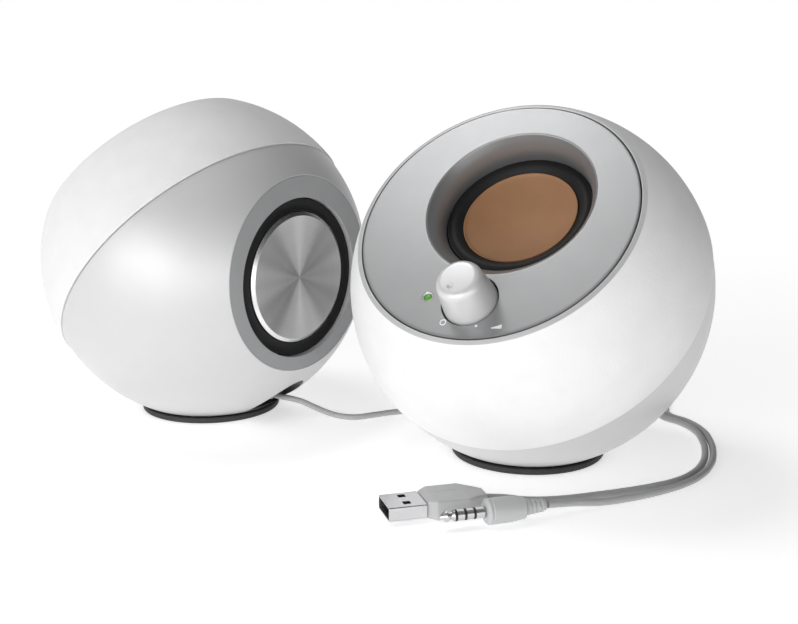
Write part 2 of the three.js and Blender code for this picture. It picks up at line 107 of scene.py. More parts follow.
def turn(degrees, axis):
    return Matrix.Rotation(math.radians(degrees), 4, axis)


def speaker_place(who):
    """On the desk under the ball's centre; the speaker's front is -Y."""
    at = SPEAKERS[who]
    return shift(at["x"], at["y"], 0) @ turn(at["turn"], "Z")


def baffle_place(who):
    """At the ball's centre; +Z points out of the baffle and +Y up it."""
    return speaker_place(who) @ shift(0, 0, CENTRE_Z) @ turn(90 - BAFFLE_ELEVATION, "X")


def driver_place(who):
    """At the middle of the surround's edge; +Z points out of the cone."""
    return baffle_place(who) @ shift(DRIVER["u"], DRIVER["v"], DRIVER["n"]) @ turn(-DRIVER["lean"], "X")


def back_place(who, drop=0.0):
    """At the ball's centre, or drop below it; +Z points backwards and +Y down."""
    return speaker_place(who) @ shift(0, 0, CENTRE_Z - drop) @ turn(-90, "X")


# ---- outlines and meshes ------------------------------------------------------------------------
def rounded(corners, closed=True, steps=4):
    """The (a, b) points of an outline of (a, b, fillet radius) corners, with its corners rounded."""
    count = len(corners)
    points = []
    for i, (a, b, radius) in enumerate(corners):
        here = Vector((a, b))
        if not radius or (not closed and i in (0, count - 1)):
            points.append(here)
            continue
        before = Vector(corners[i - 1][:2]) - here
        after = Vector(corners[(i + 1) % count][:2]) - here
        half = before.angle(after) / 2
        reach = min(radius / math.tan(half), 0.45 * before.length, 0.45 * after.length)
        radius = reach * math.tan(half)
        middle = here + (before.normalized() + after.normalized()).normalized() * radius / math.sin(half)
        start = here + before.normalized() * reach - middle
        sweep = start.angle_signed(here + after.normalized() * reach - middle)
        for k in range(steps + 1):
            points.append(middle + start @ Matrix.Rotation(sweep * k / steps, 2))
    return points


def arc(radius, start, end, steps):
    """Corners without fillets along a circle; the angles are measured from the outline's second axis."""
    angles = [start + (end - start) * i / steps for i in range(steps + 1)]
    return [(radius * math.sin(a), radius * math.cos(a), 0) for a in angles]


def ring_points(radius, height, segments):
    if radius < 1e-6:
        return [Vector((0, 0, height))]
    angles = [2 * math.pi * i / segments for i in range(segments)]
    return [Vector((radius * math.cos(a), radius * math.sin(a), height)) for a in angles]


def skin(rings, tied=False):
    """Vertices and faces of the surface through rings of points; a ring of one point is a pole."""
    verts = [p for ring in rings for p in ring]
    starts = [sum(len(r) for r in rings[:k]) for k in range(len(rings))]
    faces = []
    pairs = list(zip(range(len(rings) - 1), range(1, len(rings))))
    if tied:
        pairs.append((len(rings) - 1, 0))
    for low, high in pairs:
        count = max(len(rings[low]), len(rings[high]))
        for i in range(count):
            j = (i + 1) % count
            face = []
            face += [starts[low] + i, starts[low] + j] if len(rings[low]) > 1 else [starts[low]]
            face += [starts[high] + j, starts[high] + i] if len(rings[high]) > 1 else [starts[high]]
            faces.append(face)
    return verts, faces


def make(name, verts, faces, place, materials, sharp=38.0):
    """An object from millimetre points in the frame of place, smooth but for edges sharper than sharp."""
    mesh = bpy.data.meshes.new(name)
    mesh.from_pydata([Vector(v) * MM for v in verts], [], faces)
    mesh.update()
    for material in materials:
        mesh.materials.append(material)
    obj = bpy.data.objects.new(name, mesh)
    bpy.context.scene.collection.objects.link(obj)
    obj.matrix_world = place
    tidy_normals(obj, sharp)
    return obj


def tidy_normals(obj, sharp=38.0):
    """Faces outwards, smooth shading, hard edges kept, and flat faces weighted over their fillets."""
    bm = bmesh.new()
    bm.from_mesh(obj.data)
    bmesh.ops.recalc_face_normals(bm, faces=bm.faces)
    bm.to_mesh(obj.data)
    bm.free()
    obj.data.polygons.foreach_set("use_smooth", [True] * len(obj.data.polygons))
    obj.data.set_sharp_from_angle(angle=math.radians(sharp))
    if "Weighted" not in obj.modifiers:
        weighted = obj.modifiers.new("Weighted", "WEIGHTED_NORMAL")
        weighted.keep_sharp = True


def turned(name, corners, place, materials, segments=96, closed=False, steps=4):
    """A piece turned about +Z from (radius, height, fillet) corners, low to high on the outside."""
    rings = [ring_points(r, z, segments) for r, z in rounded(corners, closed, steps)]
    verts, faces = skin(rings, tied=closed)
    return make(name, verts, faces, place, materials)


def swept(name, outline_at, place, materials, segments):
    """A closed ring about +Z whose (radius, height, fillet) outline depends on the azimuth."""
    columns = []
    for i in range(segments):
        a = 2 * math.pi * i / segments
        columns.append([Vector((r * math.cos(a), r * math.sin(a), z)) for r, z in rounded(outline_at(a))])
    rings = [list(ring) for ring in zip(*columns)]
    verts, faces = skin(rings, tied=True)
    return make(name, verts, faces, place, materials)


def prism(name, outline, depth, place, material):
    """An outline in X and Y pushed along +Z from 0 to depth."""
    count = len(outline)
    verts = [(x, y, z) for z in (0, depth) for x, y in outline]
    sides = [[i, (i + 1) % count, count + (i + 1) % count, count + i] for i in range(count)]
    ends = [list(range(count))[::-1], list(range(count, 2 * count))]
    return make(name, verts, sides + ends, place, [material])


def box_outline(width, height, corner=0.0, steps=4):
    w, h = width / 2, height / 2
    return rounded([(-w, -h, corner), (w, -h, corner), (w, h, corner), (-w, h, corner)], steps=steps)


def combine(piece, others, operation="DIFFERENCE", sharp=38.0):
    """Cuts the other solids out of a piece, or keeps or adds what they share; the others are used up."""
    piece.modifiers.clear()
    for other in others:
        other.modifiers.clear()
        step = piece.modifiers.new("step", "BOOLEAN")
        step.operation = operation
        step.solver = "EXACT"
        step.object = other
    bpy.context.view_layer.update()
    graph = bpy.context.evaluated_depsgraph_get()
    piece_mesh = bpy.data.meshes.new_from_object(piece.evaluated_get(graph))
    piece.modifiers.clear()
    piece.data = piece_mesh
    for other in others:
        bpy.data.objects.remove(other)
    tidy_normals(piece, sharp)
    return piece


def paint(piece, index, test):
    """Gives a material index to the faces whose middle, in millimetres, passes a test."""
    for face in piece.data.polygons:
        if test(face.center / MM):
            face.material_index = index


def done(piece, body, slot, *nodes, own_axis=False):
    """Puts a piece on its body and hides the CAD nodes that it stands for; slot is not used. Its
    place goes into its mesh, unless its material turns about the piece's own axis."""
    if piece.type == "MESH" and not own_axis:
        piece.data.transform(piece.matrix_world)
        piece.matrix_world = Matrix.Identity(4)
    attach(piece, body)
    if nodes:
        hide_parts(*nodes)
    return piece


# ---- materials ----------------------------------------------------------------------------------
MOTTLE_SIZE = 9.0                 # millimetres across one patch of colour


def node(tree, kind, **values):
    made = tree.nodes.new(kind)
    for key, value in values.items():
        setattr(made, key, value)
    return made


def noise(tree, vector, size, detail=3.0):
    """Noise whose features are about size millimetres across."""
    made = node(tree, "ShaderNodeTexNoise")
    made.inputs["Scale"].default_value = 1 / (size * MM)
    made.inputs["Detail"].default_value = detail
    tree.links.new(vector, made.inputs["Vector"])
    return made.outputs["Fac"]


def ramp(tree, value, start, end, low, high):
    """Runs from low to high as value runs from start to end."""
    made = node(tree, "ShaderNodeMapRange")
    made.inputs["From Min"].default_value = start
    made.inputs["From Max"].default_value = end
    made.inputs["To Min"].default_value = low
    made.inputs["To Max"].default_value = high
    tree.links.new(value, made.inputs["Value"])
    return made.outputs["Result"]


def stretched(tree, value, low, high):
    """Noise, which stays mostly between 0.3 and 0.7, stretched to low to high."""
    return ramp(tree, value, 0.3, 0.7, low, high)


def sums(tree, operation, *values):
    """A math node's result; each value is a number or another node's output."""
    made = node(tree, "ShaderNodeMath", operation=operation)
    for socket, value in zip(made.inputs, values):
        if isinstance(value, float):
            socket.default_value = value
        else:
            tree.links.new(value, socket)
    return made.outputs["Value"]


def coordinates(tree, kind="Object"):
    return node(tree, "ShaderNodeTexCoord").outputs[kind]


def separate(tree, vector):
    made = node(tree, "ShaderNodeSeparateXYZ")
    tree.links.new(vector, made.inputs["Vector"])
    return made.outputs


def two_tone(tree, factor, dark, light):
    """Mixes two colours."""
    made = node(tree, "ShaderNodeMix", data_type="RGBA")
    made.inputs["A"].default_value = (*dark, 1)
    made.inputs["B"].default_value = (*light, 1)
    tree.links.new(factor, made.inputs["Factor"])
    return made.outputs["Result"]


def surface(name, colour, rough, metal=0.0, grain=0.5, depth=0.01, mottle=0.03, spread=0.05, rings=False,
            **sockets):
    """A material with mottled colour, uneven gloss and a grain. grain is the grain's size and depth its
    height, both in millimetres. With rings, the grain runs in circles about the piece's own Z axis.
    sockets are constants for the shader, named with underscores for spaces."""
    material = bpy.data.materials.new(name)
    material.use_nodes = True
    tree = material.node_tree
    shader = tree.nodes["Principled BSDF"]
    place = coordinates(tree)

    patches = stretched(tree, noise(tree, place, MOTTLE_SIZE, 5.0), 0, 1)
    dark = [c * (1 - mottle) for c in colour]
    light = [min(1.0, c * (1 + mottle)) for c in colour]
    tree.links.new(two_tone(tree, patches, dark, light), shader.inputs["Base Color"])

    along = place
    if rings:
        split = node(tree, "ShaderNodeVectorMath", operation="MULTIPLY")
        split.inputs[1].default_value = (1, 1, 0)
        tree.links.new(place, split.inputs[0])
        length = node(tree, "ShaderNodeVectorMath", operation="LENGTH")
        tree.links.new(split.outputs["Vector"], length.inputs[0])
        joined = node(tree, "ShaderNodeCombineXYZ")
        tree.links.new(length.outputs["Value"], joined.inputs["X"])
        along = joined.outputs["Vector"]
    fine = noise(tree, along, grain)
    rough_value = stretched(tree, fine, max(0.02, rough - spread), min(1.0, rough + spread))
    tree.links.new(rough_value, shader.inputs["Roughness"])
    bump = node(tree, "ShaderNodeBump")
    bump.inputs["Strength"].default_value = 1.0
    bump.inputs["Distance"].default_value = depth * MM
    tree.links.new(fine, bump.inputs["Height"])
    tree.links.new(bump.outputs["Normal"], shader.inputs["Normal"])

    shader.inputs["Metallic"].default_value = metal
    for socket, value in sockets.items():
        shader.inputs[socket.replace("_", " ")].default_value = value
    return material


def spun_metal_with_painted_highlights():
    """Aluminium spun on a lathe: stretched highlights round the piece's own Z axis, and a painted
    highlight in the base colour, bands that fan out from its middle, painted brightest up and down."""
    material = surface("spun_aluminium", (0.60, 0.60, 0.61), 0.3, metal=1.0, grain=0.12, depth=0.002,
                       spread=0.04, rings=True, Anisotropic=0.85)
    tree = material.node_tree
    shader = tree.nodes["Principled BSDF"]
    tangent = node(tree, "ShaderNodeTangent", direction_type="RADIAL", axis="Z")
    tree.links.new(tangent.outputs["Tangent"], shader.inputs["Tangent"])

    # Painted highlight: the base colour is lighter up and down and darker on the diagonals, where the lamps'
    # reflection falls on the disc.
    across = separate(tree, coordinates(tree))
    angle = sums(tree, "ARCTAN2", across["X"], across["Y"])
    painted_highlight_bands = 0.5
    for count, weight in ((4.0, 0.17), (2.0, 0.12), (14.0, 0.05)):
        wave = sums(tree, "COSINE", sums(tree, "MULTIPLY", angle, count))
        painted_highlight_bands = sums(tree, "MULTIPLY_ADD", wave, weight, painted_highlight_bands)
    painted_highlight_colour = two_tone(tree, painted_highlight_bands, (0.24, 0.24, 0.245), (0.92, 0.92, 0.925))
    tree.links.new(painted_highlight_colour, shader.inputs["Base Color"])
    return material


LOOKS = {
    "front_shell": surface("front_shell", (0.80, 0.80, 0.80), 0.6, grain=0.7, depth=0.06, mottle=0.02),
    "rear_shell": surface("rear_shell", (0.64, 0.64, 0.645), 0.44, metal=0.3, grain=2.5, depth=0.004,
                          mottle=0.01, spread=0.03, Coat_Weight=0.15, Coat_Roughness=0.35),
    "baffle": surface("baffle", (0.32, 0.322, 0.326), 0.36, metal=0.6, grain=0.3, depth=0.006, mottle=0.02),
    "rim": surface("rim", (0.62, 0.622, 0.626), 0.4, metal=0.5, grain=0.3, depth=0.005, mottle=0.02),
    "back_ring": surface("back_ring", (0.38, 0.385, 0.39), 0.45, metal=0.4, grain=0.3, depth=0.006),
    "knob": surface("knob", (0.66, 0.66, 0.665), 0.34, metal=0.3, grain=0.8, depth=0.0008, mottle=0.01,
                    spread=0.015),
    "cone": surface("cone", (0.33, 0.172, 0.086), 0.6, metal=0.12, grain=0.3, depth=0.006, mottle=0.05,
                    Specular_IOR_Level=0.3),
    "rubber": surface("rubber", (0.008, 0.008, 0.0085), 0.6, grain=0.4, depth=0.01, mottle=0.2,
                      Specular_IOR_Level=0.3),
    "mark": surface("mark", (0.78, 0.78, 0.78), 0.4, grain=0.3, depth=0.004),
    "foot": surface("foot", (0.03, 0.03, 0.032), 0.7, grain=0.5, depth=0.02, mottle=0.15),
    "dark": surface("dark", (0.016, 0.016, 0.017), 0.5, grain=0.6, depth=0.02, mottle=0.1),
    "lamp": surface("lamp", (0.06, 0.24, 0.02), 0.25, grain=0.5, depth=0.003, mottle=0.1,
                    Emission_Color=(0.2, 0.7, 0.06, 1), Emission_Strength=0.12),
    "cord": surface("cord", (0.40, 0.402, 0.405), 0.42, grain=0.5, depth=0.008, mottle=0.04),
    "tie": surface("tie", (0.03, 0.03, 0.03), 0.8, grain=0.25, depth=0.05, mottle=0.2),
    "plug": surface("plug", (0.50, 0.503, 0.508), 0.38, grain=0.4, depth=0.008, mottle=0.02),
    "plug_metal": surface("plug_metal", (0.62, 0.62, 0.63), 0.24, metal=1.0, grain=0.3, depth=0.002),
    "contact": surface("contact", (0.75, 0.50, 0.18), 0.25, metal=1.0, grain=0.3, depth=0.002),
    "steel": surface("steel", (0.50, 0.505, 0.51), 0.35, metal=1.0, grain=0.3, depth=0.004),
    "magnet": surface("magnet", (0.05, 0.05, 0.055), 0.6, metal=0.3, grain=0.4, depth=0.03, mottle=0.1),
    "copper": surface("copper", (0.62, 0.26, 0.10), 0.35, metal=0.9, grain=0.2, depth=0.03),
    "board": surface("board", (0.02, 0.12, 0.05), 0.4, grain=1.2, depth=0.02, mottle=0.15),
    "disc": spun_metal_with_painted_highlights(),
    "bevel": surface("bevel", (0.88, 0.88, 0.885), 0.3, metal=1.0, grain=0.3, depth=0.002),
}


# ---- camera, light and floor --------------------------------------------------------------------
def add_camera():
    """A camera in front and a little above, tipped down."""
    lens = bpy.data.cameras.new("camera")
    lens.sensor_width = CAMERA["sensor"]
    lens.lens = CAMERA["lens"]
    lens.clip_start = 0.01
    camera = bpy.data.objects.new("camera", lens)
    bpy.context.scene.collection.objects.link(camera)
    camera.location = CAMERA["at"]
    camera.rotation_euler = (math.radians(90 - CAMERA["down"]), 0, 0)
    bpy.context.scene.camera = camera


def add_light(name, at, to, size, power):
    """A soft box at a place that faces another; it lights but isn't seen."""
    lamp = bpy.data.lights.new(name, "AREA")
    lamp.shape = "RECTANGLE"
    lamp.size, lamp.size_y = size
    lamp.energy = power
    light = bpy.data.objects.new(name, lamp)
    bpy.context.scene.collection.objects.link(light)
    light.location = at
    light.visible_camera = False
    light.rotation_euler = (Vector(to) - Vector(at)).to_track_quat("-Z", "Y").to_euler()


def add_sky():
    """White round the horizon, darker overhead and on the right, as in a studio lit from the left."""
    world = bpy.data.worlds.new("studio")
    bpy.context.scene.world = world
    world.use_nodes = True
    tree = world.node_tree
    towards = separate(tree, coordinates(tree, "Generated"))
    fades = []
    for fade in SKY:
        fades.append(ramp(tree, towards[fade["axis"]], fade["start"], fade["end"], 1.0, fade["darkest"]))
    background = tree.nodes["Background"]
    background.inputs["Color"].default_value = (1, 1, 1, 1)
    tree.links.new(sums(tree, "MULTIPLY", *fades), background.inputs["Strength"])


def add_floor():
    verts, faces = skin([ring_points(r, 0, 96) for r in FLOOR_RINGS])
    white = surface("floor", (0.84, 0.84, 0.84), 0.9, grain=60.0, depth=0.0, mottle=0.004, spread=0.02,
                    Emission_Color=(1, 1, 1, 1))
    floor = make("floor", verts, faces, Matrix.Identity(4), [white])
    floor.data.flip_normals()
    tree = white.node_tree
    away = node(tree, "ShaderNodeVectorMath", operation="LENGTH")
    tree.links.new(coordinates(tree), away.inputs[0])
    glow = ramp(tree, away.outputs["Value"], FLOOR_GLOW["start"], FLOOR_GLOW["end"],
                FLOOR_GLOW["near"], FLOOR_GLOW["far"])
    tree.links.new(glow, tree.nodes["Principled BSDF"].inputs["Emission Strength"])


def add_studio():
    add_sky()
    for name, light in LIGHTS.items():
        add_light(name, **light)
    add_floor()
    bpy.context.scene.view_settings.view_transform = "Standard"


# ---- shells -------------------------------------------------------------------------------------
def seam_angle(across, along, offset, radius, side):
    """Where a circle of some radius about the centre meets the seam plane, as an angle from the axis."""
    steep = math.atan2(across, along) % (2 * math.pi)
    return steep + side * math.acos(offset / (radius * math.hypot(across, along)))


def front_shell(who):
    lean = math.radians(BAFFLE_ELEVATION - SEAM_ELEVATION)
    offset = SEAM_OFFSET + GAP / 2
    rim_angle = math.asin(RIM_R / BALL_R)
    inner_r = BALL_R - WALL

    def outline(a):
        across, along = -math.sin(lean) * math.sin(a), math.cos(lean)
        low = seam_angle(across, along, offset, BALL_R, 1) % (2 * math.pi)
        low_inner = seam_angle(across, along, offset, inner_r, 1) % (2 * math.pi)
        outer = arc(BALL_R, low, rim_angle, 44)
        outer[0] = (*outer[0][:2], 0.45)
        outer[-1] = (*outer[-1][:2], 0.3)
        inner = arc(inner_r, math.acos(LEDGE["low"] / inner_r), low_inner, 12)
        inner[-1] = (*inner[-1][:2], 0.2)
        mouth = [
            (MOUTH_R, BAFFLE_FRONT - 0.1, 0.2),
            (MOUTH_R, LEDGE["high"], 0.2),
            (LEDGE["r"], LEDGE["high"], 0.2),
            (LEDGE["r"], LEDGE["low"], 0.2),
        ]
        return outer + mouth + inner

    paints = [LOOKS["front_shell"], LOOKS["rim"]]
    shell = swept(f"{who}_front_shell_fine", outline, baffle_place(who), paints, 240)
    paint(shell, 1, lambda p: p.z > 37 and MOUTH_R - 0.1 < math.hypot(p.x, p.y) < RIM_R - 0.02)
    done(shell, "root", "front_shell", f"{who}_front_shell")


def hole_radius(a, radius):
    """From the ball's axis to a circle about the radiator's axis, at an azimuth of the back's frame."""
    drop = RADIATOR["drop"]
    return drop * math.sin(a) + math.sqrt(radius ** 2 - (drop * math.cos(a)) ** 2)


def recess_outline(grow):
    """The half-moon outline of the cord recess, in the speaker's X and Z."""
    half = RECESS["half"] + grow
    low = RECESS["floor"] - grow
    high = RECESS["height"] + 2 * grow
    steps = 28
    angles = [math.pi * i / steps for i in range(steps + 1)]
    return [(RECESS["x"] + half * math.cos(a), low + high * math.sin(a)) for a in angles]


def recess_prism(name, who, grow, start, end):
    """The recess outline pushed along the speaker's Y between two depths."""
    upright = speaker_place(who) @ shift(0, end, 0) @ turn(90, "X")
    return prism(name, recess_outline(grow), end - start, upright, LOOKS["dark"])


def rear_shell(who):
    tilt = math.radians(SEAM_ELEVATION)
    offset = SEAM_OFFSET - GAP / 2
    inner_r = REAR_R - WALL
    edge = math.acos(BACK_Y / REAR_R)
    inner_back = BACK_Y - WALL
    sunk = BACK_Y - 0.5

    def outline(a):
        across, along = -math.sin(tilt) * math.sin(a), -math.cos(tilt)
        low = seam_angle(across, along, offset, REAR_R, -1) % (2 * math.pi)
        low_inner = seam_angle(across, along, offset, inner_r, -1) % (2 * math.pi)
        outer = arc(REAR_R, low, edge, 72)
        outer[0] = (*outer[0][:2], 0.35)
        outer[-1] = (*outer[-1][:2], 0.25)
        inner = arc(inner_r, math.acos(inner_back / inner_r), low_inner, 20)
        inner[-1] = (*inner[-1][:2], 0.2)
        hole = hole_radius(a, RADIATOR["hole"] + LINER)
        back = [
            (BACK_RING_R + 0.12, BACK_Y, 0.05),
            (BACK_RING_R + 0.12, sunk, 0),
            (hole, sunk, 0),
            (hole, inner_back, 0),
        ]
        return outer + back + inner

    shell = swept(f"{who}_rear_shell_fine", outline, back_place(who), [LOOKS["rear_shell"]], 288)
    outside, inside = CENTRE_Z - FLOOR_Z, CENTRE_Z - FLOOR_Z - WALL
    for vertex in shell.data.vertices:
        deep = vertex.co.length / MM > (REAR_R + inner_r) / 2
        lowest = (outside if deep else inside) * MM
        if vertex.co.y > lowest:
            vertex.co *= lowest / vertex.co.y
    cutters = [recess_prism("recess_cutter", who, RECESS["wall"] + 0.1, RECESS["back"] - 4, BALL_R)]
    for x, y in screw_places():
        cutters.append(turned("screw_cutter", [(0, -6, 0), (1.7, -6, 0), (1.7, 6, 0), (0, 6, 0)],
                              speaker_place(who) @ shift(x, y, FLOOR_Z), [LOOKS["rear_shell"]], 24))
    combine(shell, cutters, sharp=30.0)
    done(shell, "root", "rear_shell", f"{who}_rear_shell")


def screw_places():
    angles = [math.radians(a) for a in (90, 210, 330)]
    return [(13.5 * math.cos(a), 13.5 * math.sin(a)) for a in angles]


def back_ring(who):
    """The grey ring let into the flat back, whose inner wall is the radiator's bore."""
    def outline(a):
        hole = hole_radius(a, RADIATOR["hole"])
        liner = hole_radius(a, RADIATOR["hole"] + LINER - 0.1)
        return [
            (BACK_RING_R, BACK_Y - 0.45, 0.05),
            (BACK_RING_R, BACK_Y, 0.15),
            (hole, BACK_Y, 0.25),
            (hole, BACK_Y - 3.6, 0.1),
            (liner, BACK_Y - 3.6, 0),
            (liner, BACK_Y - 0.45, 0),
        ]

    ring = swept(f"{who}_back_ring", outline, back_place(who), [LOOKS["back_ring"], LOOKS["rear_shell"]], 160)
    bore = RADIATOR["hole"] + 0.05
    paint(ring, 1, lambda p: p.z < BACK_Y - 0.2 and math.hypot(p.x, p.y - RADIATOR["drop"]) < bore)
    done(ring, "root", "baffle")


def cord_recess(who):
    """The dark cup behind the recess's opening, which comes out to just below the shell's surface."""
    here = speaker_place(who)
    dark = LOOKS["dark"]
    cup = recess_prism(f"{who}_cord_recess_fine", who, RECESS["wall"] - 0.1, RECESS["back"] - 1.1, BALL_R)
    lid_r = REAR_R - 0.25
    steps = 90
    lid_side = arc(lid_r, math.pi * (1 - 1 / steps), math.pi / steps, steps - 2)
    lid = turned("lid", [(0, -lid_r, 0), *lid_side, (0, lid_r, 0)], here @ shift(0, 0, CENTRE_Z), [dark], 180)
    combine(cup, [lid], "INTERSECT")
    below = here @ shift(0, 0, -100 + FLOOR_Z + 0.3)
    cutters = [
        recess_prism("pocket", who, 0.02, RECESS["back"], BALL_R),
        prism("below", box_outline(200, 200), 100, below, dark),
    ]
    for x in SPEAKERS[who]["glands"]:
        through = here @ shift(x, RECESS["back"], RECESS["cord_z"]) @ turn(-90, "X")
        hole = [(0, -3, 0), (2.4, -3, 0), (2.4, 3, 0), (0, 3, 0)]
        cutters.append(turned("hole", hole, through, [dark], 32))
    combine(cup, cutters, sharp=30.0)
    done(cup, "root", "dark_plastic", f"{who}_cord_recess")


def glands(who):
    made = []
    places = SPEAKERS[who]["glands"]
    for i, x in enumerate(places):
        name = f"{who}_gland_{i + 1}" if len(places) > 1 else f"{who}_gland"
        gland = turned(f"{name}_fine", [
            (0, 0, 0), (2.2, 0, 0.1), (2.2, 3.2, 0.3),
            (1.9, 3.4, 0.1), (1.9, 4.1, 0.1), (2.05, 4.2, 0.1), (2.0, 4.9, 0.1),
            (1.75, 5.0, 0.1), (1.75, 5.6, 0.1), (1.85, 5.7, 0.1), (1.7, 6.5, 0.3), (0, 6.5, 0),
        ], speaker_place(who) @ shift(x, 23.0, RECESS["cord_z"]) @ turn(-90, "X"), [LOOKS["cord"]], 48)
        made.append(done(gland, "root", "cord", name))
    return made


def foot(who):
    inner, outer, height = FOOT["inner"], FOOT["r"], FOOT["height"]
    made = turned(f"{who}_foot_fine", [
        (inner, 0, 0.4), (outer - 0.5, 0, 0.4), (outer, 0.6, 0.4), (outer, height, 0.3), (inner, height, 0.3),
    ], speaker_place(who), [LOOKS["foot"]], 144, closed=True)
    done(made, "root", "foot_rubber", f"{who}_foot")


# ---- baffle, knob and lamp ----------------------------------------------------------------------
def circle_at(place, radius, segments=192):
    return [place @ p for p in ring_points(radius, 0, segments)]


def flat_frame(u, v, n, lean=0.0):
    """A frame in the baffle's own millimetres, leaning up like the driver."""
    return Matrix.Translation((u, v, n)) @ turn(-lean, "X")


def baffle(who):
    front, back = BAFFLE_FRONT, BAFFLE_FRONT - BAFFLE_THICK
    seat = (DRIVER["u"], DRIVER["v"], DRIVER["n"])
    lean = DRIVER["lean"]

    def bowl(t, grow=0.0, sag=0.9):
        """A circle on the dish's wall: t is 0 at the driver and 1 at the baffle's face."""
        u = seat[0] + (DISH["u"] - seat[0]) * t
        v = seat[1] + (DISH["v"] - seat[1]) * t
        n = seat[2] + (front - seat[2]) * t
        r = DRIVER["hole"] + (DISH["r"] - DRIVER["hole"]) * t - sag * math.sin(math.pi * t) + grow
        return circle_at(flat_frame(u, v, n, lean * (1 - t)), r)

    hole = flat_frame(*seat, lean)
    rings = [
        circle_at(hole @ Matrix.Translation((0, 0, -4.5)), DRIVER["hole"]),
        circle_at(hole @ Matrix.Translation((0, 0, -0.3)), DRIVER["hole"]),
        circle_at(hole @ Matrix.Translation((0, 0, -0.1)), DRIVER["hole"] + 0.05),
    ]
    rings += [bowl(t) for t in [0.02 + 0.96 * k / 18 for k in range(19)]]
    fillet = 0.7
    for k in range(1, 6):
        a = math.radians(15 * k)
        place = flat_frame(DISH["u"], DISH["v"], front - fillet * (1 - math.sin(a)) * 0.45)
        rings.append(circle_at(place, DISH["r"] + 0.1 * fillet + fillet * (1 - math.cos(a)) * 0.6))
    face = DISH["r"] + 0.1 * fillet + 0.6 * fillet
    for t in (0.0, 0.04, 0.25, 0.5, 0.75, 0.97):
        place = flat_frame(DISH["u"] * (1 - t), DISH["v"] * (1 - t), front)
        rings.append(circle_at(place, face + (BAFFLE_R - 0.35 - face) * t))
    edge = [
        (BAFFLE_R - 0.35, front), (BAFFLE_R - 0.12, front - 0.08), (BAFFLE_R, front - 0.3),
        (BAFFLE_R, back - 1), (43.5, back - 1), (43.5, back),
    ]
    rings += [circle_at(flat_frame(0, 0, n), r) for r, n in edge]
    rings.append(circle_at(flat_frame(DISH["u"], DISH["v"], back), DISH["r"] + DISH["skin"] - 0.6))
    rings.append(circle_at(hole @ Matrix.Translation((0, 0, -1.2)), DRIVER["hole"] + DISH["skin"]))
    rings.append(circle_at(hole @ Matrix.Translation((0, 0, -4.5)), DRIVER["hole"] + 1.6))
    verts, faces = skin(rings[::-1], tied=True)
    plate = make(f"{who}_baffle_fine", verts, faces, baffle_place(who), [LOOKS["baffle"]])
    if who == "powered":
        cutters = []
        for radius, u, v in ((KNOB["hole"], KNOB["u"], KNOB["v"]), (LAMP["r"] + 0.3, LAMP["u"], LAMP["v"])):
            bevel = 0.15
            cutters.append(turned("bore", [
                (0, 30, 0), (radius, 30, 0), (radius, front - bevel, 0),
                (radius + 3 * bevel, front + 2 * bevel, 0), (0, front + 2 * bevel, 0),
            ], baffle_place(who) @ shift(u, v, 0), [LOOKS["baffle"]], 96))
        combine(plate, cutters)
    done(plate, "root", "baffle", f"{who}_baffle")


def knob():
    low, high, base, top = KNOB["low"], KNOB["high"], KNOB["base"], KNOB["top"]
    place = baffle_place("powered") @ shift(KNOB["u"], KNOB["v"], 0)
    body = turned("volume_knob_fine", [
        (0, 46, 0), (KNOB["bore"], 46, 0.3), (KNOB["bore"], low, 0.2), (base - 0.1, low, 0.3),
        (base, low + 0.5, 0.4), (top + 0.6, high - 0.2, 2.5), (0, high, 0),
    ], place, [LOOKS["knob"]], 128, steps=10)
    dimple = turned("dimple", [(0, -0.9, 0), (0.8, -0.5, 0.3), (1.1, 0.05, 0), (1.2, 0.6, 0), (0, 0.6, 0)],
                    place @ shift(-1.2, -3.1, high - 0.15), [LOOKS["knob"]], 32, steps=6)
    combine(body, [dimple])
    done(body, "volume_knob_unit", "knob", "volume_knob")


def lamp():
    place = baffle_place("powered") @ shift(LAMP["u"], LAMP["v"], 0)
    r = LAMP["r"]
    bezel = turned("power_lamp_bezel", [
        (r - 0.25, 36, 0), (r + 0.26, 36, 0),
        (r + 0.26, BAFFLE_FRONT + 0.05, 0.08), (r - 0.1, BAFFLE_FRONT - 0.25, 0.05),
    ], place, [LOOKS["knob"]], 48, closed=True)
    done(bezel, "root", "knob")
    lens = turned("power_lamp_fine", [
        (0, 35, 0), (r - 0.3, 35, 0), (r - 0.3, BAFFLE_FRONT - 0.6, 0.2), (0.8, BAFFLE_FRONT - 0.25, 0.5),
        (0, BAFFLE_FRONT - 0.2, 0),
    ], place, [LOOKS["lamp"]], 48)
    done(lens, "root", "lamp_lens", "power_lamp")


def marks():
    """Small raised marks beside the knob: a ring for off, then a dot and a wedge for more."""
    place = baffle_place("powered")
    top = BAFFLE_FRONT + 0.18
    low = BAFFLE_FRONT - 0.2
    ring = turned("off_mark", [(0.75, low, 0), (1.1, low, 0), (1.1, top, 0.08), (0.75, top, 0.08)],
                  place @ shift(-3.3, -41, 0), [LOOKS["mark"]], 32, closed=True)
    dot = turned("low_mark", [(0, low, 0), (0.45, low, 0), (0.45, top, 0.08), (0, top, 0)],
                 place @ shift(7.9, -40.7, 0), [LOOKS["mark"]], 24)
    wedge = prism("loud_mark", rounded([(-1.9, -0.35, 0.1), (1.9, -0.7, 0.15), (1.9, 0.7, 0.15)]), top - low,
                  place @ shift(14.2, -40.2, low) @ turn(12, "Z"), LOOKS["mark"])
    for mark in (ring, dot, wedge):
        done(mark, "root", "baffle")


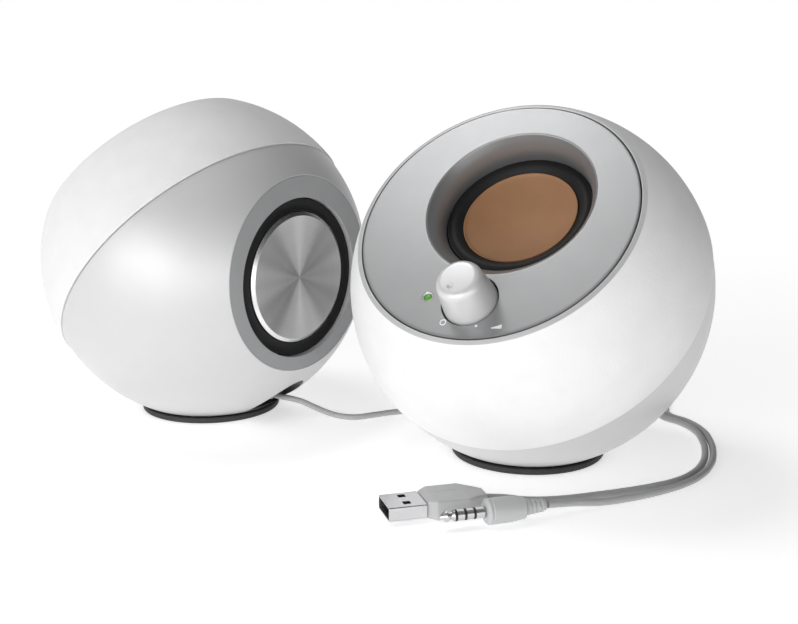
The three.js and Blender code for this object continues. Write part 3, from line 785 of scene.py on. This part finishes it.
# ---- driver and radiator ------------------------------------------------------------------------
def driver(who):
    place = driver_place(who)
    r = DRIVER["cone"]
    steps = 24
    edge = -1.1
    front = [(r * k / steps, edge - 0.1 - 5.2 * (1 - (k / steps) ** 1.7), 0) for k in range(steps + 1)]
    back = [(x, z - 0.7, 0) for x, z, _ in front]
    front[-1] = (r - 0.25, edge, 0.1)
    lip = [(r, edge - 0.6, 0.1), (r, edge + 0.1, 0.15), (r - 0.25, edge + 0.16, 0.1)]
    cone = turned(f"{who}_cone_fine", back[:-1] + lip + front[::-1][1:], place, [LOOKS["cone"]], 144)
    done(cone, f"{who}_cone_unit", "cone", f"{who}_cone", own_axis=True)

    inner, outer = r + GAP, DRIVER["surround"]
    low, high = -1.6, -0.1
    roll = []
    for k in range(19):
        t = k / 18
        slope = high + (low + 0.4 - high) * t
        roll.append((outer - 0.4 - (outer - inner - 0.6) * t, slope + 1.0 * math.sin(math.pi * t), 0))
    surround = turned(f"{who}_surround_fine", [
        (inner, low - 0.4, 0), (outer, low - 0.4, 0.1), (outer, high, 0.1), *roll, (inner, low + 0.3, 0.05),
    ], place, [LOOKS["rubber"]], 144, closed=True)
    done(surround, f"{who}_cone_unit", "surround_rubber", f"{who}_surround")


def radiator(who):
    place = back_place(who, RADIATOR["drop"]) @ shift(0, 0, BACK_Y)
    disc_r, hole, deep = RADIATOR["disc"], RADIATOR["hole"], RADIATOR["recess"]
    body = f"{who}_radiator_unit"
    disc = turned(f"{who}_radiator_disc_fine", [
        (0, -deep - 1.2, 0), (disc_r, -deep - 1.2, 0.1), (disc_r, -deep + 0.35, 0.12),
        (disc_r - 1.3, -deep + 1.2, 0.12), (disc_r - 1.9, -deep + 1.2, 0), (0, -deep + 1.2, 0),
    ], place, [LOOKS["disc"], LOOKS["bevel"]], 180)
    paint(disc, 1, lambda p: -deep + 0.3 < p.z < -deep + 1.15)
    done(disc, body, "spun_aluminium", f"{who}_radiator_disc", own_axis=True)
    inner, outer = disc_r + GAP, hole - 0.4
    steps = 16
    roll = []
    for k in range(steps + 1):
        t = k / steps
        roll.append((outer - 0.6 - (outer - 0.9 - inner) * t, -deep + 0.1 - 0.65 * math.sin(math.pi * t), 0))
    ring = turned(f"{who}_radiator_surround_fine", [
        (inner, -deep - 1.4, 0), (outer, -deep - 1.4, 0.1), (outer, -deep + 0.1, 0.15), *roll,
        (inner, -deep + 0.1, 0.1),
    ], place, [LOOKS["rubber"]], 160, closed=True)
    done(ring, body, "surround_rubber", f"{who}_radiator_surround")


# ---- cords and plugs ----------------------------------------------------------------------------
def wound(middle, diameter, start, end, way):
    """Points of a coil of two layers, six turns side by side in each: in along the lower layer, out
    along the upper one. start and end are angles in degrees, and way is 1 for anticlockwise."""
    radii = [(3 + k) * diameter for k in range(6)]
    order = radii[::-1] + radii
    per_turn = 16
    total = 11 * 360 + (way * (end - start)) % 360
    points = []
    for i in range(int(total / 360 * per_turn) + 1):
        along = i / per_turn
        k = min(int(along), 11)
        t = min(max((along - k - 0.72) / 0.28, 0), 1)
        t = t * t * (3 - 2 * t)
        after = min(k + 1, 11)
        r = order[k] + (order[after] - order[k]) * t
        layer = 0 if k < 5 else (t if k == 5 else 1)
        a = math.radians(start + way * 360 * along)
        points.append((middle[0] + r * math.cos(a), middle[1] + r * math.sin(a), diameter * (0.5 + layer)))
    return points


def cord(name, diameter, points):
    """A smooth curve through millimetre points, as thick as the cord."""
    line = bpy.data.curves.new(name, "CURVE")
    line.dimensions = "3D"
    line.resolution_u = 5
    line.bevel_depth = diameter / 2 * MM
    line.bevel_resolution = 5
    line.use_fill_caps = True
    spline = line.splines.new("BEZIER")
    spline.bezier_points.add(len(points) - 1)
    for knot, point in zip(spline.bezier_points, points):
        knot.co = Vector(point) * MM
        knot.handle_left_type = "AUTO"
        knot.handle_right_type = "AUTO"
    line.materials.append(LOOKS["cord"])
    obj = bpy.data.objects.new(name, line)
    bpy.context.scene.collection.objects.link(obj)
    return obj


def tie(name, middle, diameter, angle):
    """A strap round one side of a coil."""
    inner, outer = 2.35 * diameter, 8.65 * diameter
    high = 2.12 * diameter
    strap = 0.45
    width = 4.0
    place = shift(middle[0], middle[1], 0) @ turn(angle, "Z")
    rings = []
    for y in (-width / 2, width / 2):
        loop = rounded([(inner, 0.05, 0.8), (outer, 0.05, 0.8), (outer, high, 0.9), (inner, high, 0.9)])
        rings.append([Vector((x, y, z)) for x, z in loop])
    for y in (width / 2, -width / 2):
        loop = rounded([(inner - strap, 0.0, 1.1), (outer + strap, 0.0, 1.1),
                        (outer + strap, high + strap, 1.2), (inner - strap, high + strap, 1.2)])
        rings.append([Vector((x, y, z)) for x, z in loop])
    verts, faces = skin(rings, tied=True)
    return done(make(name, verts, faces, place, [LOOKS["tie"]]), "root", "cord")


LINK_COIL = (37, 33)
USB_COIL = (93, 41.5)
AUDIO_COIL = (61, 68.8)

LINK_A = [
    (-33.3, 12.4, 8.2), (-29.9, 9.8, 8.1), (-26, 8.4, 7.8), (-22, 8.6, 6.6), (-18, 9.6, 4.4),
    (-13.4, 10, 2.2), (-9.5, 8.9, 1.2), (-5.2, 6.8, 1.1), (-1.4, 6.4, 1.1), (4.5, 8.9, 1.1),
    (12.6, 12.7, 1.1), (20.5, 14.6, 1.1), (28.3, 14.9, 1.1),
]
LINK_B = [
    (56.8, 28.1, 2.3), (61.8, 29.3, 1.2), (66.6, 27, 1.1), (69.9, 21.6, 1.9), (71, 15, 4.2),
    (70.3, 9.3, 7), (68.8, 6.2, 8), (66.8, 2.7, 8.2),
]
USB_A = [
    (76.3, -2.9, 8.2), (78.7, 1.3, 8), (81.6, 6.6, 6.8), (83.4, 12.4, 4.4), (84.1, 17.4, 2.1),
    (83.7, 21.4, 1.3),
]
USB_B = [
    (112, 53, 2.2), (116, 48, 1.4), (118.3, 41.5, 1.2), (118.6, 34, 1.2), (117, 25.5, 1.2),
    (114.8, 16.4, 1.2), (114.4, 7, 1.2), (119.7, -0.9, 1.2), (122.6, -10.1, 1.2), (122.6, -21.2, 1.2),
    (120.6, -34, 1.2), (116.7, -46.1, 1.2), (110.9, -56.1, 1.2), (104.8, -62.3, 1.2),
    (97.2, -67, 1.2), (87.4, -71.4, 1.2), (75.9, -75.5, 1.2), (64.7, -79, 1.3), (54, -81, 1.8),
    (46.8, -81.4, 2.7), (41.3, -82.05, 3.1),
]
AUDIO_A = [
    (71.5, -0.1, 8.2), (73.9, 4.1, 8), (76.1, 9.6, 6.8), (77, 16, 4.2), (75.6, 23, 2), (72, 30, 1.2),
    (68.4, 36.5, 1.2), (65.2, 42.2, 1.2), (62.8, 46.4, 1.2),
]
AUDIO_B = [
    (82.5, 75.3, 2.3), (89, 72, 1.4), (97, 69.5, 1.2), (106, 65.6, 1.2), (113.5, 59, 1.2),
    (118.7, 50.5, 1.2), (121.2, 41.5, 1.2), (121.4, 33, 1.2), (119.8, 24.5, 1.2), (117.6, 16, 1.2),
    (117.2, 8, 1.2), (122.1, 0.4, 1.2), (125.2, -9.7, 1.2), (125.3, -21.4, 1.2), (123.2, -34.7, 1.2),
    (119.2, -47.2, 1.2), (113.1, -57.9, 1.2), (106.2, -65.4, 1.2), (97, -72, 1.2), (86.5, -77.6, 1.2),
    (76, -82.2, 1.6), (67.6, -86, 3), (59.5, -90.1, 4),
]


def usb_plug():
    place = shift(USB["x"], USB["y"], 0) @ turn(USB["turn"], "Z")
    length, width, height, mid = USB["length"], USB["width"], USB["height"], USB["mid"]

    def section(x, wide, tall, corner):
        return [Vector((x, y, mid + z)) for y, z in box_outline(wide, tall, corner)]

    start = length + GAP
    stations = [
        (start, 10.6, 5.0, 0.5), (start + 0.25, 11.0, 5.4, 0.7), (start + 2.6, 14.0, 6.1, 0.7),
        (start + 2.9, 14.3, 6.15, 0.7), (start + 12.7, 14.3, 6.15, 0.7), (start + 13.2, 14.0, 6.1, 0.7),
        (start + 18.4, 7.4, 5.0, 0.7), (start + 18.9, 6.9, 4.8, 0.8), (start + 19.7, 6.6, 4.6, 0.9),
        (start + 20, 5.6, 3.9, 1.0),
    ]
    rings = [section(*s) for s in stations]
    ends = [[sum(ring, Vector()) / len(ring)] for ring in (rings[0], rings[-1])]
    verts, faces = skin([ends[0], *rings, ends[1]])
    body = make("usb_plug_body_fine", verts, faces, place, [LOOKS["plug"]])
    pad_place = place @ shift(start + 8, 0, mid + 3.0)
    pad = prism("pad", box_outline(7.5, 3.2, 1.5, 8), 0.5, pad_place, LOOKS["plug"])
    combine(body, [pad], sharp=30.0)
    done(body, "root", "plug_plastic", "usb_plug_body")

    wall = 0.4
    outer, inner = [], []
    for x, grow in ((0, -0.12), (0.15, 0), (length, 0)):
        outer.append(section(x, width + 2 * grow, height + 2 * grow, 0.6))
    for x in (length, 0.15, 0):
        inner.append(section(x, width - 2 * wall, height - 2 * wall, 0.3))
    verts, faces = skin(outer + inner, tied=True)
    shell = make("usb_plug_shell_fine", verts, faces, place, [LOOKS["plug_metal"]])
    holes = []
    for y in (-2.9, 2.9):
        through = place @ shift(6.3, y, mid - 4)
        holes.append(prism("hole", box_outline(2.4, 2.3, 0.2), 8, through, LOOKS["plug_metal"]))
    combine(shell, holes, sharp=30.0)
    done(shell, "root", "plug_metal", "usb_plug_shell")

    low = mid + height / 2 - wall - GAP - 1.7
    tongue = prism("usb_plug_tongue_fine", box_outline(length - 1.2, width - 2 * wall - 2 * GAP, 0.3), 1.7,
                   place @ shift(length / 2 + 0.6, 0, low), LOOKS["dark"])
    done(tongue, "root", "dark_plastic", "usb_plug_tongue")
    strips = []
    for k in range(4):
        y = (k - 1.5) * 2.4
        strips.append(prism(f"usb_contact_{k + 1}", box_outline(7.2, 1.1, 0.2), 0.12,
                            place @ shift(5.6, y, low - 0.14), LOOKS["contact"]))
        done(strips[-1], "root", "plug_metal")
    return [body, shell, tongue, *strips]


def audio_plug():
    place = shift(AUDIO["x"], AUDIO["y"], AUDIO["z"]) @ turn(AUDIO["turn"], "Z") @ turn(90, "Y")
    pin = turned("audio_plug_pin_fine", [
        (0, 0, 0), (0.55, 0.05, 0.3), (1.72, 1.9, 0.35), (1.72, 2.5, 0.3), (1.2, 3.3, 0.3), (1.25, 3.7, 0.2),
        (1.75, 4.3, 0.1), (1.75, 4.5, 0), (1.75, 5.3, 0), (1.75, 7.4, 0), (1.75, 8.2, 0), (1.75, 10.3, 0),
        (1.75, 11.1, 0), (1.75, 13.8, 0.1), (0, 14, 0),
    ], place, [LOOKS["plug_metal"], LOOKS["dark"]], 48)
    bands = ((4.5, 5.3), (7.4, 8.2), (10.3, 11.1))
    paint(pin, 1, lambda p: any(low < p.z < high for low, high in bands))
    done(pin, "root", "plug_metal", "audio_plug_pin")
    body = turned("audio_plug_body_fine", [
        (0, 14.3, 0), (3.3, 14.3, 0.2), (4.0, 14.9, 0.3), (4.0, 15.5, 0.15), (3.8, 15.7, 0.1),
        (3.8, 15.95, 0.1), (4.0, 16.2, 0.2), (3.95, 22.0, 0), (3.4, 26.7, 0.5), (0, 26.7, 0),
    ], place, [LOOKS["plug"]], 64)
    done(body, "root", "plug_plastic", "audio_plug_body")
    ribs = []
    for k in range(4):
        z = 27.6 + 1.45 * k
        r = 2.45 - 0.14 * k
        ribs += [(r, z, 0.12), (r, z + 0.75, 0.12), (r - 0.45, z + 0.85, 0.1), (r - 0.5, z + 1.35, 0.1)]
    relief = turned("audio_plug_relief_fine", [(0, 27, 0), (2.3, 27, 0.1), (2.3, 27.4, 0.1), *ribs,
                    (1.75, 33.5, 0.2), (0, 33.6, 0)], place, [LOOKS["plug"]], 48)
    bars = []
    for k in range(3):
        bars.append(prism("bar", box_outline(0.9, 4.5 if k % 2 else 4.2, 0.1), 0.65,
                          place @ shift(0, 0, 28.3 + 1.45 * k) @ turn(90 * k, "Z"), LOOKS["plug"]))
    combine(relief, bars, "UNION", sharp=30.0)
    done(relief, "root", "plug_plastic", "audio_plug_relief")
    return [pin, body, relief]


def cords():
    powered_glands = glands("powered")
    satellite_glands = glands("satellite")
    link = cord("link_cord", LINK_D, LINK_A + wound(LINK_COIL, LINK_D, -90, -40, 1) + LINK_B)
    done(link, "root", "cord", "link_cord_a", "link_coil", "link_cord_b")
    usb = cord("usb_cord", LEAD_D, USB_A + wound(USB_COIL, LEAD_D, 215, 70, -1) + USB_B)
    done(usb, "root", "cord", "usb_cord_a", "usb_coil", "usb_cord_b")
    audio = cord("audio_cord", LEAD_D, AUDIO_A + wound(AUDIO_COIL, LEAD_D, 255, 45, -1) + AUDIO_B)
    done(audio, "root", "cord", "audio_cord_a", "audio_coil", "audio_cord_b")
    ties = {
        "link": tie("link_tie", LINK_COIL, LINK_D, 100),
        "usb": tie("usb_tie", USB_COIL, LEAD_D, -20),
        "audio": tie("audio_tie", AUDIO_COIL, LEAD_D, 120),
    }
    usb_plug()
    audio_plug()


# ---- CAD pieces that stay -----------------------------------------------------------------------
def finish_cad_nodes():
    """Inner pieces and the base screws keep their CAD shape and take their slot's material."""
    looks = {
        "dark_plastic": "dark", "steel": "steel", "magnet": "magnet", "copper": "copper",
        "circuit_board": "board", "heat_sink": "steel",
    }
    for part in frame["record"]["subparts"]:
        kept = frame["nodes"][part["node"]]
        if part["material_slot"] in looks and not kept.hide_render:
            kept.data.materials.clear()
            kept.data.materials.append(LOOKS[looks[part["material_slot"]]])


add_camera()
add_studio()
cords()
for speaker in SPEAKERS:
    front_shell(speaker)
    rear_shell(speaker)
    back_ring(speaker)
    cord_recess(speaker)
    foot(speaker)
    baffle(speaker)
    driver(speaker)
    radiator(speaker)
knob()
lamp()
marks()
finish_cad_nodes()
